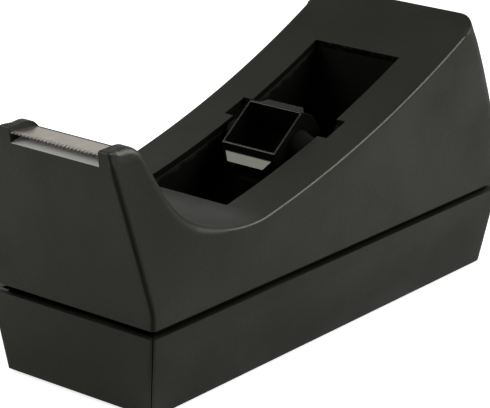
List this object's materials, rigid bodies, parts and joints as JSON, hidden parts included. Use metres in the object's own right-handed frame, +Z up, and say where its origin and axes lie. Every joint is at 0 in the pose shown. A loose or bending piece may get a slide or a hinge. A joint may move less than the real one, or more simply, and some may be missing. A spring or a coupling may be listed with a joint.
{
  "type": "tape_dispenser_organizer_with_drawer",
  "caption": "Weighted desk tape dispenser in dark charcoal plastic: leaning nose with serrated cutter, open tape well with lift-out hub, and a small drawer in the tapered base.",
  "frame": {"origin": "bottom centre of the bounding box: on the desk, under the middle of the length and width", "axes": "+X to the right, -Y towards the cutter and drawer, +Y towards the rear, +Z up"},
  "size_m": [0.0482, 0.1442, 0.0676],
  "materials": {
    "shell_plastic": "dark charcoal moulding with a fine even grain",
    "base_plastic": "dark charcoal moulding with a fine even grain",
    "well_plastic": "dark charcoal, moulded smooth",
    "hub_plastic": "dark charcoal, moulded smooth",
    "tray_plastic": "dark grey, moulded smooth",
    "runner_plastic": "white low-friction strip",
    "foot_rubber": "black, matt",
    "cutter_steel": "punched steel strip, lightly brushed",
    "zinc_plate": "zinc-plated sheet",
    "screw_steel": "plated steel",
    "ballast_iron": "as cast, dark"
  },
  "bodies": {
    "base": {"body_shell": "shell_plastic", "tape_well": "well_plastic", "cutter_blade": "cutter_steel", "chassis_plate": "zinc_plate", "chassis_screws": "screw_steel", "ballast_nose": "ballast_iron", "ballast_rear": "ballast_iron", "ballast_screws": "screw_steel", "base_housing": "base_plastic", "housing_screws": "screw_steel", "drawer_runner_right": "runner_plastic", "drawer_runner_left": "runner_plastic", "foot_pad_front_right": "foot_rubber", "foot_pad_front_left": "foot_rubber", "foot_pad_rear_right": "foot_rubber", "foot_pad_rear_left": "foot_rubber"},
    "drawer": {"drawer_front": "base_plastic", "drawer_tray": "tray_plastic", "drawer_screws": "screw_steel"},
    "bushings": {"hub_bushing_right": "hub_plastic", "hub_bushing_left": "hub_plastic"},
    "drum": {"hub_drum": "hub_plastic"}
  },
  "joints": [
    {"name": "drawer_slide", "type": "slide", "parent": "base", "child": "drawer", "axis": [0, -1, 0], "range_m": [0, 0.0295]},
    {"name": "hub_lift", "type": "slide", "parent": "base", "child": "bushings", "axis": [0, 0.6157, 0.788], "range_m": [0, 0.045]},
    {"name": "hub_spin", "type": "hinge", "parent": "bushings", "child": "drum", "pos_m": [0, 0.00515, 0.0421], "axis": [1, 0, 0], "continuous": true}
  ]
}
